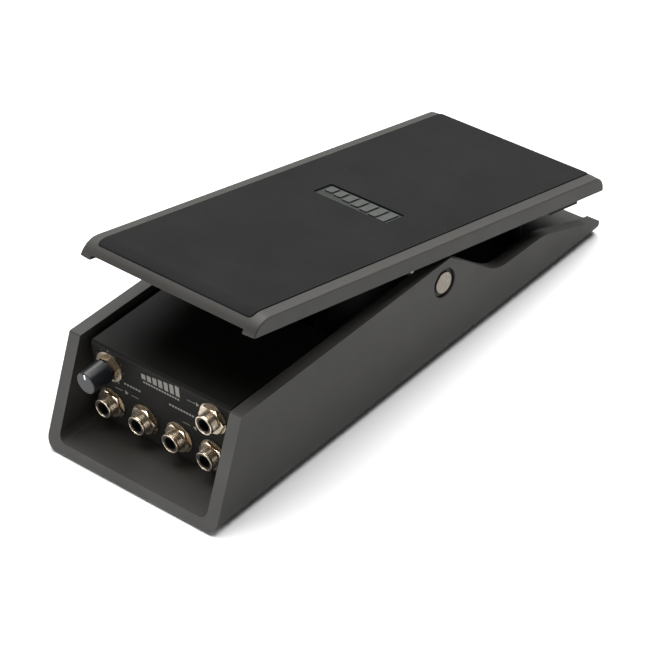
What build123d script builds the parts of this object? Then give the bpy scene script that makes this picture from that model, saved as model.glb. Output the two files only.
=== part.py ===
"""Volume pedal: a rocking treadle on a U-shaped cast base, with a jack box in the toe end.

Units are millimetres.  +Z is up and the pedal rests on Z = 0.  The origin is under the middle
of the whole pedal.  The toe end, with the jacks, faces -Y and the heel end faces +Y.
The treadle is drawn at its heel-down stop, toe raised.
"""
from math import acos, cos, pi, radians, sin, sqrt, tan
import os

from build123d import *

os.makedirs("parts", exist_ok=True)

# ---------------------------------------------------------------- driving dimensions
BASE_WIDTH = 108.0
BASE_LENGTH = 285.2
WALL = 7.0                      # thickness of the side walls
FLOOR = 4.6                     # thickness of the floor between them
WALL_HEIGHT = 52.2
FRONT_LEAN = 25.0               # how far the top of the slanted toe end lies behind its foot
FOOT_PROUD = 1.0                # how far the rubber feet stand out below the casting
PIVOT_FROM_TOE = 165.4
PIVOT_HEIGHT = 40.6             # axle above the underside of the casting
TILT = 14.4                     # slope of the treadle at its heel-down stop, in degrees
SKIRT_BOTTOM = 13.9             # lower edge of the treadle's skirt above the axle
TREADLE_TOP = 22.0              # top of the treadle casting above the axle
TREADLE_TOE = -135.5            # toe and heel ends of the treadle, measured from the axle
TREADLE_HEEL = 124.6

# ---------------------------------------------------------------- derived positions
SLOPE_COS = cos(radians(TILT))
SLOPE_SIN = sin(radians(TILT))
OVERALL_LENGTH = PIVOT_FROM_TOE + TREADLE_HEEL * SLOPE_COS + SKIRT_BOTTOM * SLOPE_SIN
UNDERSIDE = FOOT_PROUD
FLOOR_TOP = UNDERSIDE + FLOOR
WALL_TOP = UNDERSIDE + WALL_HEIGHT
TOE_Y = -OVERALL_LENGTH / 2
HEEL_Y = TOE_Y + BASE_LENGTH
BASE_MIDDLE_Y = TOE_Y + BASE_LENGTH / 2
OUTER_X = BASE_WIDTH / 2
INNER_X = OUTER_X - WALL
PIVOT_Y = TOE_Y + PIVOT_FROM_TOE
PIVOT_Z = UNDERSIDE + PIVOT_HEIGHT
FIT = 0.06                      # radial clearance of a running fit
SLIP = 0.1                      # radial clearance of a screw in its hole

# Jack box
BOX_FRONT = TOE_Y + 28.0
BOX_REAR = TOE_Y + 96.0
BOX_TOP = UNDERSIDE + 49.3
BOX_HALF = 43.6
SHEET = 1.2
PANEL_BACK = BOX_FRONT + SHEET

# Jacks: four in a row, the fifth above the last one; the minimum-volume pot above the first
JACK_PITCH = 21.5
JACK_ROW_START = -34.5
JACK_LOW_Z = UNDERSIDE + 17.2
JACK_HIGH_X = 32.6
JACK_HIGH_Z = UNDERSIDE + 39.6
JACK_REACH = 7.0                # how far a threaded bushing stands out of the panel
JACK_BORE = 3.25
BUSHING_RADIUS = 5.05
NOSE_RADIUS = 4.1               # plastic nose that lines the threaded bushing
JACK_BODY_DEPTH = 24.0
BOARD_FRONT = PANEL_BACK + JACK_BODY_DEPTH
JACK_NAMES = ["input_left", "input_right", "output_right", "output_left", "expression"]
JACK_PLACES = [(JACK_ROW_START + JACK_PITCH * i, JACK_LOW_Z) for i in range(4)]
JACK_PLACES.append((JACK_HIGH_X, JACK_HIGH_Z))
MIN_POT_X = JACK_ROW_START + 1.5
MIN_POT_Z = UNDERSIDE + 38.7

# Gear drive of the volume potentiometer
GEAR_MODULE = 0.8
SECTOR_TEETH = 120              # teeth of the full circle that the sector is cut from
PINION_TEETH = 16
GEAR_THICKNESS = 4.0
GEAR_X = -8.0                   # middle plane of the two gears
GEAR_BACKLASH = 0.12
MESH_ANGLE = 10.0               # the pinion lies this far below the level of the axle, toe side
CENTRE_DISTANCE = GEAR_MODULE * (SECTOR_TEETH + PINION_TEETH) / 2
PINION_Y = PIVOT_Y - CENTRE_DISTANCE * cos(radians(MESH_ANGLE))
PINION_Z = PIVOT_Z - CENTRE_DISTANCE * sin(radians(MESH_ANGLE))

# ---------------------------------------------------------------- planes of the treadle
# Local Y of TREADLE runs down the slope to the heel and local Z is square to the tread.
AXLE_CENTRE = (0, PIVOT_Y, PIVOT_Z)
TREADLE = Plane(origin=AXLE_CENTRE, x_dir=(1, 0, 0), z_dir=(0, SLOPE_SIN, SLOPE_COS))
TREADLE_SIDE = Plane(origin=AXLE_CENTRE, x_dir=(0, SLOPE_COS, -SLOPE_SIN), z_dir=(1, 0, 0))
TREADLE_END = Plane(origin=AXLE_CENTRE, x_dir=(1, 0, 0), z_dir=(0, -SLOPE_COS, SLOPE_SIN))
FACING_TOE = Plane.XZ           # sketches facing -Y; offset(d) moves towards -Y


def toe_plane(y):
    """Plane that faces the toe end at the given Y, with X to the right and Z up."""
    return FACING_TOE.offset(-y)


def save(builder, name):
    """Label a finished sub-part and write its STEP file."""
    builder.part.label = name
    export_step(builder.part, f"parts/{name}.step")


# ---------------------------------------------------------------- base casting
FOOT_RADIUS = 9.0
FOOT_POCKET = 1.0
FOOT_X = 38.0
FOOT_Y = 122.0
AXLE_RADIUS = 4.0
BUSH_RADIUS = 5.6
CAP_RADIUS = 5.55
CAP_RECESS_RADIUS = 7.5
CAP_RECESS_DEPTH = 2.4
HEEL_STOP_X = 24.0
HEEL_STOP_Y = TOE_Y + 249.6
HEEL_BOSS_HEIGHT = 15.6
HEEL_BOSS_RADIUS = 7.0
BOX_MIDDLE_Y = (BOX_FRONT + BOX_REAR) / 2
BOX_SCREW_SPACING = 50.0
BOX_SCREW_GRID = (2 * JACK_PITCH, BOX_SCREW_SPACING, 2, 2)
BOX_SCREW_CENTRE_X = JACK_ROW_START + 1.5 * JACK_PITCH  # the screws stand between the jacks
BRACKET_SCREW_X = GEAR_X + 18.0
BRACKET_SCREW_SPACING = 16.0
M3_RADIUS = 1.5
M3_HEAD_RADIUS = 2.9
BRACKET_SCREW_REACH = 3.0       # how deep the bracket's screws go into the floor

with BuildPart() as base_casting:
    with BuildSketch(Plane.YZ) as side_profile:
        with BuildLine():
            Polyline(
                (TOE_Y, UNDERSIDE),
                (TOE_Y + FRONT_LEAN, WALL_TOP),
                (TOE_Y + 170.9, WALL_TOP),
                (TOE_Y + 204.0, UNDERSIDE + 24.7),
                (TOE_Y + 240.8, UNDERSIDE + 23.9),
                (TOE_Y + 281.2, UNDERSIDE + 7.8),
                (HEEL_Y, UNDERSIDE + 6.8),
                (HEEL_Y, UNDERSIDE),
                close=True,
            )
        make_face()
        for corner_y, corner_radius in ((FRONT_LEAN, 1.0), (204.0, 24.0), (240.8, 30.0), (281.2, 8.0)):
            nearby = (TOE_Y + corner_y - 0.1, TOE_Y + corner_y + 0.1)
            fillet(side_profile.vertices().filter_by_position(Axis.X, *nearby), corner_radius)
    extrude(amount=OUTER_X, both=True)
    bottom_edges = base_casting.edges().filter_by(Axis.Y).group_by(Axis.Z)[0]
    fillet(bottom_edges, 6.0)
    # Open channel between the side walls
    with BuildSketch(toe_plane(HEEL_Y + 1)) as channel:
        with Locations((0, FLOOR_TOP + WALL_HEIGHT / 2)):
            Rectangle(2 * INNER_X, WALL_HEIGHT)
        fillet(channel.vertices().group_by(Axis.Y)[0], 4.5)
    extrude(amount=BASE_LENGTH + 2, mode=Mode.SUBTRACT)
    # Bosses under the heel stops
    with BuildSketch(Plane.XY.offset(FLOOR_TOP - 0.5)):
        with Locations((-HEEL_STOP_X, HEEL_STOP_Y), (HEEL_STOP_X, HEEL_STOP_Y)):
            Circle(HEEL_BOSS_RADIUS)
    extrude(amount=HEEL_BOSS_HEIGHT + 0.5)
    # Blind holes for the screws of the heel stops and of the potentiometer bracket
    with BuildSketch(Plane.XY.offset(FLOOR_TOP + HEEL_BOSS_HEIGHT)):
        with Locations((-HEEL_STOP_X, HEEL_STOP_Y), (HEEL_STOP_X, HEEL_STOP_Y)):
            Circle(M3_RADIUS + SLIP)
    extrude(amount=-10, mode=Mode.SUBTRACT)
    with BuildSketch(Plane.XY.offset(FLOOR_TOP)):
        with Locations((BRACKET_SCREW_X, PINION_Y)):
            with GridLocations(0, BRACKET_SCREW_SPACING, 1, 2):
                Circle(M3_RADIUS + SLIP)
    extrude(amount=-BRACKET_SCREW_REACH - 0.3, mode=Mode.SUBTRACT)
    # Countersunk holes for the screws that hold the jack box, from below
    with Locations(Plane(origin=(BOX_SCREW_CENTRE_X, BOX_MIDDLE_Y, UNDERSIDE), z_dir=(0, 0, -1))):
        with GridLocations(*BOX_SCREW_GRID):
            CounterSinkHole(M3_RADIUS + SLIP, M3_HEAD_RADIUS + SLIP, depth=FLOOR, counter_sink_angle=90)
    # Pockets for the rubber feet
    with BuildSketch(Plane.XY.offset(UNDERSIDE)):
        with Locations((0, BASE_MIDDLE_Y)):
            with GridLocations(2 * FOOT_X, 2 * FOOT_Y, 2, 2):
                Circle(FOOT_RADIUS + SLIP)
    extrude(amount=FOOT_POCKET, mode=Mode.SUBTRACT)
    # Axle holes with a round recess on the outside of each wall
    with BuildSketch(Plane.YZ):
        with Locations((PIVOT_Y, PIVOT_Z)):
            Circle(BUSH_RADIUS)
    extrude(amount=OUTER_X + 1, both=True, mode=Mode.SUBTRACT)
    for side in (-1, 1):
        with BuildSketch(Plane.YZ.offset(side * OUTER_X)):
            with Locations((PIVOT_Y, PIVOT_Z)):
                Circle(CAP_RECESS_RADIUS)
        extrude(amount=-side * CAP_RECESS_DEPTH, mode=Mode.SUBTRACT)
    outer_rounds = base_casting.edges().filter_by(GeomType.CIRCLE).filter_by(
        lambda e: abs(e.center().X) > OUTER_X - 0.1 and abs(e.radius - CAP_RECESS_RADIUS) < 0.01
    )
    fillet(outer_rounds, 0.5)
save(base_casting, "base_casting")

with BuildPart() as rubber_feet:
    with BuildSketch(Plane.XY):
        with Locations((0, BASE_MIDDLE_Y)):
            with GridLocations(2 * FOOT_X, 2 * FOOT_Y, 2, 2):
                Circle(FOOT_RADIUS)
    extrude(amount=FOOT_PROUD + FOOT_POCKET)
    fillet(rubber_feet.edges().group_by(Axis.Z)[0], 0.5)
save(rubber_feet, "rubber_feet")


# ---------------------------------------------------------------- heel stops
STOP_RADIUS = 6.0
STOP_GAP = 0.4                  # left open to the treadle frame at the heel-down stop
FRAME_SHEET = 1.5
PLATE_UNDERSIDE = TREADLE_TOP - 5.0
WEB_UNDERSIDE = PLATE_UNDERSIDE - FRAME_SHEET
HEEL_STOP_BASE = FLOOR_TOP + HEEL_BOSS_HEIGHT
# Height of the sloping web over the heel edge of the stop, where it comes closest
WEB_OVER_STOP = PIVOT_Z + (WEB_UNDERSIDE - SLOPE_SIN * (HEEL_STOP_Y + STOP_RADIUS - PIVOT_Y)) / SLOPE_COS
HEEL_STOP_TOP = WEB_OVER_STOP - STOP_GAP

with BuildPart() as heel_stops:
    with BuildSketch(Plane.XY.offset(HEEL_STOP_BASE)):
        with Locations((-HEEL_STOP_X, HEEL_STOP_Y), (HEEL_STOP_X, HEEL_STOP_Y)):
            Circle(STOP_RADIUS)
            Circle(M3_HEAD_RADIUS + SLIP, mode=Mode.SUBTRACT)
    extrude(amount=HEEL_STOP_TOP - HEEL_STOP_BASE)
    fillet(heel_stops.edges().group_by(Axis.Z)[-1].filter_by(lambda e: e.radius > 4), 0.8)
    with BuildSketch(Plane.XY.offset(HEEL_STOP_BASE)):
        with Locations((-HEEL_STOP_X, HEEL_STOP_Y), (HEEL_STOP_X, HEEL_STOP_Y)):
            Circle(M3_HEAD_RADIUS + SLIP)
            Circle(M3_RADIUS + SLIP, mode=Mode.SUBTRACT)
    extrude(amount=0.8)
save(heel_stops, "heel_stops")

with BuildPart() as heel_stop_screws:
    with BuildSketch(Plane.XY.offset(HEEL_STOP_BASE + 0.8)):
        with Locations((-HEEL_STOP_X, HEEL_STOP_Y), (HEEL_STOP_X, HEEL_STOP_Y)):
            Circle(M3_HEAD_RADIUS)
    extrude(amount=1.4)
    with BuildSketch(Plane.XY.offset(HEEL_STOP_BASE + 0.8)):
        with Locations((-HEEL_STOP_X, HEEL_STOP_Y), (HEEL_STOP_X, HEEL_STOP_Y)):
            Circle(M3_RADIUS)
    extrude(amount=-9)
save(heel_stop_screws, "heel_stop_screws")

# ---------------------------------------------------------------- jack box
PANEL_HOLE_RADIUS = BUSHING_RADIUS + SLIP
POT_BUSHING_RADIUS = 3.5
GROMMET_RADIUS = 4.0
GROMMET_X = 24.0
GROMMET_Z = UNDERSIDE + 24.0
TAB_HEIGHT = 11.0
TAB_LENGTH = 14.0
TAB_SPACING = 44.0
TAB_SCREW_Z = BOX_TOP - 7.0
TRAY_HALF = BOX_HALF - SHEET
TRAY_TOP = BOX_TOP - SHEET - 1.0  # clear of the bends of the hood
HOOD_BOTTOM = FLOOR_TOP + 0.3     # clear of the rounded corners of the channel

# Folded hood: jack panel, top and rear wall in one strip, with two tabs down each side
with BuildPart() as jack_box_hood:
    with BuildSketch(Plane.YZ) as hood_profile:
        with Locations((BOX_MIDDLE_Y, (HOOD_BOTTOM + BOX_TOP) / 2)):
            Rectangle(BOX_REAR - BOX_FRONT, BOX_TOP - HOOD_BOTTOM)
        fillet(hood_profile.vertices().group_by(Axis.Y)[-1], 2.0)
    extrude(amount=BOX_HALF, both=True)
    with BuildSketch(Plane.YZ) as hood_hollow:
        with Locations((BOX_MIDDLE_Y, (HOOD_BOTTOM + BOX_TOP) / 2 - SHEET)):
            Rectangle(BOX_REAR - BOX_FRONT - 2 * SHEET, BOX_TOP - HOOD_BOTTOM)
        fillet(hood_hollow.vertices().group_by(Axis.Y)[-1], 0.8)
    extrude(amount=BOX_HALF, both=True, mode=Mode.SUBTRACT)
    for side in (-1, 1):
        with BuildSketch(Plane.YZ.offset(side * BOX_HALF)):
            with Locations((BOX_MIDDLE_Y, BOX_TOP - SHEET - TAB_HEIGHT / 2)):
                with GridLocations(TAB_SPACING, 0, 2, 1):
                    Rectangle(TAB_LENGTH, TAB_HEIGHT)
        extrude(amount=-side * SHEET)
    with BuildSketch(Plane.YZ):
        with Locations((BOX_MIDDLE_Y, TAB_SCREW_Z)):
            with GridLocations(TAB_SPACING, 0, 2, 1):
                Circle(M3_RADIUS + SLIP)
    extrude(amount=OUTER_X, both=True, mode=Mode.SUBTRACT)
    with BuildSketch(toe_plane(PANEL_BACK + 1)):
        with Locations(*JACK_PLACES):
            Circle(PANEL_HOLE_RADIUS)
        with Locations((MIN_POT_X, MIN_POT_Z)):
            Circle(POT_BUSHING_RADIUS + SLIP)
    extrude(amount=SHEET + 2, mode=Mode.SUBTRACT)
    with BuildSketch(toe_plane(BOX_REAR + 1)):
        with Locations((GROMMET_X, GROMMET_Z)):
            Circle(GROMMET_RADIUS)
    extrude(amount=SHEET + 2, mode=Mode.SUBTRACT)
save(jack_box_hood, "jack_box_hood")

# Tray: bottom and two sides, closed over by the hood
with BuildPart() as jack_box_tray:
    with BuildSketch(toe_plane(BOX_REAR - SHEET)) as tray_profile:
        with Locations((0, (FLOOR_TOP + TRAY_TOP) / 2)):
            Rectangle(2 * TRAY_HALF, TRAY_TOP - FLOOR_TOP)
        with Locations((0, (FLOOR_TOP + TRAY_TOP) / 2 + SHEET)):
            Rectangle(2 * (TRAY_HALF - SHEET), TRAY_TOP - FLOOR_TOP, mode=Mode.SUBTRACT)
    extrude(amount=BOX_REAR - BOX_FRONT - 2 * SHEET)
    with BuildSketch(Plane.YZ):
        with Locations((BOX_MIDDLE_Y, TAB_SCREW_Z)):
            with GridLocations(TAB_SPACING, 0, 2, 1):
                Circle(M3_RADIUS + SLIP)
    extrude(amount=OUTER_X, both=True, mode=Mode.SUBTRACT)
    with BuildSketch(Plane.XY.offset(FLOOR_TOP)):
        with Locations((BOX_SCREW_CENTRE_X, BOX_MIDDLE_Y)):
            with GridLocations(*BOX_SCREW_GRID):
                Circle(M3_RADIUS + SLIP)
    extrude(amount=SHEET, mode=Mode.SUBTRACT)
save(jack_box_tray, "jack_box_tray")

with BuildPart() as hood_screws:
    for side in (-1, 1):
        with BuildSketch(Plane.YZ.offset(side * BOX_HALF)):
            with Locations((BOX_MIDDLE_Y, TAB_SCREW_Z)):
                with GridLocations(TAB_SPACING, 0, 2, 1):
                    Circle(2.5)
        extrude(amount=side * 1.0)
        with BuildSketch(Plane.YZ.offset(side * BOX_HALF)):
            with Locations((BOX_MIDDLE_Y, TAB_SCREW_Z)):
                with GridLocations(TAB_SPACING, 0, 2, 1):
                    Circle(M3_RADIUS)
        extrude(amount=-side * 3.2)
save(hood_screws, "hood_screws")

BOX_NUT_HEIGHT = 2.4
BOX_SCREW_LENGTH = FLOOR + SHEET + BOX_NUT_HEIGHT + 0.4
with BuildPart() as box_screws:
    with BuildSketch(Plane.XY.offset(UNDERSIDE + 0.1)):
        with Locations((BOX_SCREW_CENTRE_X, BOX_MIDDLE_Y)):
            with GridLocations(*BOX_SCREW_GRID):
                Circle(M3_HEAD_RADIUS)
    extrude(amount=M3_HEAD_RADIUS - M3_RADIUS, taper=45)
    with BuildSketch(Plane.XY.offset(UNDERSIDE + 0.1)):
        with Locations((BOX_SCREW_CENTRE_X, BOX_MIDDLE_Y)):
            with GridLocations(*BOX_SCREW_GRID):
                Circle(M3_RADIUS)
    extrude(amount=BOX_SCREW_LENGTH)
save(box_screws, "box_screws")

with BuildPart() as box_nuts:
    with BuildSketch(Plane.XY.offset(FLOOR_TOP + SHEET)):
        with Locations((BOX_SCREW_CENTRE_X, BOX_MIDDLE_Y)):
            with GridLocations(*BOX_SCREW_GRID):
                RegularPolygon(2.75, 6, major_radius=False)
                Circle(M3_RADIUS + 0.05, mode=Mode.SUBTRACT)
    extrude(amount=BOX_NUT_HEIGHT)
save(box_nuts, "box_nuts")

with BuildPart() as cable_grommet:
    with BuildSketch(toe_plane(BOX_REAR + 1.5)):
        with Locations((GROMMET_X, GROMMET_Z)):
            Circle(GROMMET_RADIUS + 1.5)
    extrude(amount=SHEET + 3.0)
    with BuildSketch(toe_plane(BOX_REAR)):
        with Locations((GROMMET_X, GROMMET_Z)):
            Circle(GROMMET_RADIUS + 2)
            Circle(GROMMET_RADIUS, mode=Mode.SUBTRACT)
    extrude(amount=SHEET, mode=Mode.SUBTRACT)
    with BuildSketch(toe_plane(BOX_REAR + 2)):
        with Locations((GROMMET_X, GROMMET_Z)):
            Circle(2.2)
    extrude(amount=SHEET + 5.0, mode=Mode.SUBTRACT)
save(cable_grommet, "cable_grommet")


# ---------------------------------------------------------------- jacks
JACK_BODY_WIDTH = 13.0
JACK_BODY_HEIGHT = 15.0
BUSHING_SOCKET = 3.0            # how deep the threaded bushing sits in its plastic body
JACK_BORE_DEPTH = 30.0
WASHER_RADIUS = 8.0
WASHER_THICKNESS = 0.6
NUT_FLATS = 13.6
NUT_HEIGHT = 1.9
NUT_TURNS = [45, 6, 49, 43, 1]  # each nut stopped at its own angle when it was tightened
PIN_RADIUS = 0.5
PIN_SPACING = 5.0
JACK_MOUTH = BOX_FRONT - JACK_REACH
NOSE_FRONT = JACK_MOUTH + 0.4   # the nose ends a little inside the mouth


def build_jack_body(x, z):
    """Plastic body of one jack: block, nose inside the threaded bushing, and plug bore."""
    with BuildPart() as body:
        with BuildSketch(toe_plane(BOARD_FRONT)):
            with Locations((x, z)):
                Rectangle(JACK_BODY_WIDTH, JACK_BODY_HEIGHT)
        extrude(amount=JACK_BODY_DEPTH)
        with BuildSketch(toe_plane(PANEL_BACK)):
            with Locations((x, z)):
                Circle(BUSHING_RADIUS)
        extrude(amount=-BUSHING_SOCKET, mode=Mode.SUBTRACT)
        with BuildSketch(toe_plane(PANEL_BACK + BUSHING_SOCKET)):
            with Locations((x, z)):
                Circle(NOSE_RADIUS)
        extrude(amount=PANEL_BACK + BUSHING_SOCKET - NOSE_FRONT)
        with BuildSketch(toe_plane(JACK_MOUTH + JACK_BORE_DEPTH)):
            with Locations((x, z)):
                Circle(JACK_BORE)
        extrude(amount=JACK_BORE_DEPTH, mode=Mode.SUBTRACT)
    return body


def build_jack_bushing(x, z):
    """Threaded metal bushing of one jack, with a small chamfer at its mouth."""
    with BuildPart() as bushing:
        with BuildSketch(toe_plane(PANEL_BACK + BUSHING_SOCKET)):
            with Locations((x, z)):
                Circle(BUSHING_RADIUS)
                Circle(NOSE_RADIUS, mode=Mode.SUBTRACT)
        extrude(amount=PANEL_BACK + BUSHING_SOCKET - JACK_MOUTH)
        mouth_edges = bushing.edges().group_by(Axis.Y)[0]
        chamfer(mouth_edges, 0.25)
    return bushing


for jack_name, (jack_x, jack_z) in zip(JACK_NAMES, JACK_PLACES):
    save(build_jack_body(jack_x, jack_z), f"{jack_name}_jack_body")
    save(build_jack_bushing(jack_x, jack_z), f"{jack_name}_jack_bushing")

with BuildPart() as jack_washers:
    with BuildSketch(toe_plane(BOX_FRONT)):
        with Locations(*JACK_PLACES):
            Circle(WASHER_RADIUS)
            Circle(BUSHING_RADIUS + SLIP, mode=Mode.SUBTRACT)
    extrude(amount=WASHER_THICKNESS)
save(jack_washers, "jack_washers")

with BuildPart() as jack_nuts:
    for (nut_x, nut_z), turn in zip(JACK_PLACES, NUT_TURNS):
        with BuildSketch(toe_plane(BOX_FRONT - WASHER_THICKNESS)):
            with Locations((nut_x, nut_z)):
                RegularPolygon(NUT_FLATS / 2, 6, major_radius=False, rotation=turn)
                Circle(BUSHING_RADIUS + 0.05, mode=Mode.SUBTRACT)
        extrude(amount=NUT_HEIGHT)
    # Turned corners on the outer face
    with BuildSketch(toe_plane(BOX_FRONT - WASHER_THICKNESS - NUT_HEIGHT)):
        with Locations(*JACK_PLACES):
            Circle(NUT_FLATS / 2 + 0.1)
    extrude(amount=-NUT_HEIGHT, taper=-60, mode=Mode.INTERSECT)
save(jack_nuts, "jack_nuts")

with BuildPart() as circuit_board:
    with BuildSketch(toe_plane(BOARD_FRONT + 1.6)):
        with Locations((0, (FLOOR_TOP + BOX_TOP) / 2)):
            Rectangle(81.0, BOX_TOP - FLOOR_TOP - 4.0)
        with Locations(*JACK_PLACES):
            with GridLocations(0, PIN_SPACING, 1, 3):
                Circle(PIN_RADIUS + SLIP, mode=Mode.SUBTRACT)
    extrude(amount=1.6)
save(circuit_board, "circuit_board")

with BuildPart() as jack_pins:
    with BuildSketch(toe_plane(BOARD_FRONT + 3.0)):
        with Locations(*JACK_PLACES):
            with GridLocations(0, PIN_SPACING, 1, 3):
                Circle(PIN_RADIUS)
    extrude(amount=3.0)
save(jack_pins, "jack_pins")

# Capacitors and the lead connector on the rear face of the board
with BuildPart() as board_components:
    with BuildSketch(toe_plane(BOARD_FRONT + 1.6)):
        with Locations((-22, FLOOR_TOP + 28), (-8, FLOOR_TOP + 28), (4, FLOOR_TOP + 30)):
            Circle(4.0)
    extrude(amount=-11)
    with BuildSketch(toe_plane(BOARD_FRONT + 1.6)):
        with Locations((GROMMET_X - 4, FLOOR_TOP + 22)):
            Rectangle(10, 6)
    extrude(amount=-6)
    with BuildSketch(toe_plane(BOARD_FRONT + 1.6)):
        with Locations((-22, FLOOR_TOP + 8), (0, FLOOR_TOP + 8)):
            Rectangle(9, 6)
    extrude(amount=-3.5)
save(board_components, "board_components")


# ---------------------------------------------------------------- minimum-volume control
MIN_POT_RADIUS = 6.0
MIN_POT_DEPTH = 9.0
MIN_BUSHING_REACH = 3.6
SHAFT_RADIUS = 3.0
KNOB_BASE = BOX_FRONT - 4.2
KNOB_LENGTH = 11.7
KNOB_FACE = KNOB_BASE - KNOB_LENGTH
KNOB_BASE_RADIUS = 6.0
KNOB_FACE_RADIUS = 5.6
POINTER_WIDTH = 1.0
POINTER_DEPTH = 0.3

with BuildPart() as min_volume_pot:
    with BuildSketch(toe_plane(PANEL_BACK + MIN_POT_DEPTH)):
        with Locations((MIN_POT_X, MIN_POT_Z)):
            Circle(MIN_POT_RADIUS)
    extrude(amount=MIN_POT_DEPTH)
    with BuildSketch(toe_plane(PANEL_BACK)):
        with Locations((MIN_POT_X, MIN_POT_Z)):
            Circle(POT_BUSHING_RADIUS)
    extrude(amount=SHEET + MIN_BUSHING_REACH)
    with BuildSketch(toe_plane(PANEL_BACK + MIN_POT_DEPTH - 2)):
        with Locations((MIN_POT_X, MIN_POT_Z)):
            Circle(2.0 + FIT)
    extrude(amount=MIN_POT_DEPTH + SHEET + MIN_BUSHING_REACH, mode=Mode.SUBTRACT)
save(min_volume_pot, "min_volume_pot")

with BuildPart() as min_pot_washer:
    with BuildSketch(toe_plane(BOX_FRONT)):
        with Locations((MIN_POT_X, MIN_POT_Z)):
            Circle(WASHER_RADIUS)
            Circle(POT_BUSHING_RADIUS + SLIP, mode=Mode.SUBTRACT)
    extrude(amount=WASHER_THICKNESS)
save(min_pot_washer, "min_pot_washer")

with BuildPart() as min_pot_nut:
    with BuildSketch(toe_plane(BOX_FRONT - WASHER_THICKNESS)):
        with Locations((MIN_POT_X, MIN_POT_Z)):
            RegularPolygon(5.5, 6, major_radius=False, rotation=12)
            Circle(POT_BUSHING_RADIUS + 0.05, mode=Mode.SUBTRACT)
    extrude(amount=2.2)
save(min_pot_nut, "min_pot_nut")

with BuildPart() as min_pot_shaft:
    with BuildSketch(toe_plane(PANEL_BACK + MIN_POT_DEPTH - 2.2)):
        with Locations((MIN_POT_X, MIN_POT_Z)):
            Circle(2.0)
    extrude(amount=PANEL_BACK + MIN_POT_DEPTH - 2.2 - (KNOB_FACE + 3.5))
save(min_pot_shaft, "min_pot_shaft")

with BuildPart() as min_volume_knob:
    with BuildSketch(toe_plane(KNOB_BASE)):
        with Locations((MIN_POT_X, MIN_POT_Z)):
            Circle(KNOB_BASE_RADIUS)
    with BuildSketch(toe_plane(KNOB_FACE)):
        with Locations((MIN_POT_X, MIN_POT_Z)):
            Circle(KNOB_FACE_RADIUS)
    loft()
    fillet(min_volume_knob.edges().group_by(Axis.Y)[0], 0.6)
    with BuildSketch(toe_plane(KNOB_BASE)):
        with Locations((MIN_POT_X, MIN_POT_Z)):
            Circle(2.0)
    extrude(amount=KNOB_LENGTH - 3.5, mode=Mode.SUBTRACT)
    # Groove of the pointer, over the upper edge of the face
    with BuildSketch(toe_plane(KNOB_FACE)):
        with Locations((MIN_POT_X, MIN_POT_Z + 4.4)):
            Rectangle(POINTER_WIDTH, 4.0)
    extrude(amount=-POINTER_DEPTH, mode=Mode.SUBTRACT)
save(min_volume_knob, "min_volume_knob")

with BuildPart() as knob_pointer:
    with BuildSketch(toe_plane(KNOB_FACE + POINTER_DEPTH)):
        with Locations((MIN_POT_X, MIN_POT_Z + 3.7)):
            Rectangle(POINTER_WIDTH, 2.6)
    extrude(amount=POINTER_DEPTH)
save(knob_pointer, "knob_pointer")


# ---------------------------------------------------------------- pivot
BUSH_FLANGE = 0.8
BUSH_FLANGE_RADIUS = 7.3
CAP_THICKNESS = 1.2
CAP_FACE_X = OUTER_X - 0.3
FLANGE_OUTER_X = INNER_X - 0.8
PIVOT_IN_YZ = (PIVOT_Y, PIVOT_Z)

for side, side_name in ((-1, "left"), (1, "right")):
    recess_floor = side * (OUTER_X - CAP_RECESS_DEPTH)
    with BuildPart() as pivot_bush:
        with BuildSketch(Plane.YZ.offset(side * INNER_X)):
            with Locations(PIVOT_IN_YZ):
                Circle(BUSH_RADIUS)
        extrude(amount=side * (OUTER_X - CAP_RECESS_DEPTH - INNER_X))
        with BuildSketch(Plane.YZ.offset(recess_floor)):
            with Locations(PIVOT_IN_YZ):
                Circle(BUSH_FLANGE_RADIUS)
        extrude(amount=side * BUSH_FLANGE)
        with BuildSketch(Plane.YZ):
            with Locations(PIVOT_IN_YZ):
                Circle(AXLE_RADIUS + FIT)
        extrude(amount=OUTER_X, both=True, mode=Mode.SUBTRACT)
    save(pivot_bush, f"{side_name}_pivot_bush")

with BuildPart() as pivot_axle:
    with BuildSketch(Plane.YZ):
        with Locations(PIVOT_IN_YZ):
            Circle(AXLE_RADIUS)
    extrude(amount=CAP_FACE_X - CAP_THICKNESS, both=True)
save(pivot_axle, "pivot_axle")

# Discs riveted to the two ends of the axle
with BuildPart() as axle_caps:
    for side in (-1, 1):
        with BuildSketch(Plane.YZ.offset(side * CAP_FACE_X)):
            with Locations(PIVOT_IN_YZ):
                Circle(CAP_RADIUS)
        extrude(amount=-side * CAP_THICKNESS)
    fillet(axle_caps.edges().filter_by(lambda e: abs(abs(e.center().X) - CAP_FACE_X) < 0.01), 0.35)
save(axle_caps, "axle_caps")


# ---------------------------------------------------------------- treadle
TOE_RADIUS = 11.3               # rounding of the two ends, seen from the side
HEEL_RADIUS = 7.6
TOE_INSET = sqrt(TOE_RADIUS**2 - (SKIRT_BOTTOM - TREADLE_TOP + TOE_RADIUS) ** 2)
TOE_CENTRE = TREADLE_TOE + TOE_INSET
HEEL_CENTRE = TREADLE_HEEL - HEEL_RADIUS
FOLD_X = 53.7                   # where the shoulder meets the flared skirt
FOLD_DROP = 0.5
SHOULDER_WIDTH = 5.8
LIP_BOTTOM = SKIRT_BOTTOM + 2.0  # the toe lip stops a little short of the side skirts
END_WALL = 6.0
MAT_PROUD = 0.5
MAT_INLAY = 1.2
MAT_HALF = 47.4
MAT_TOE = -130.9
MAT_HEEL = 118.9
MAT_CORNER = 1.8
MAT_GAP = 0.2
BADGE_CENTRE = -2.8
BADGE_WIDTH = 46.0
BADGE_DEPTH = 13.8


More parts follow.
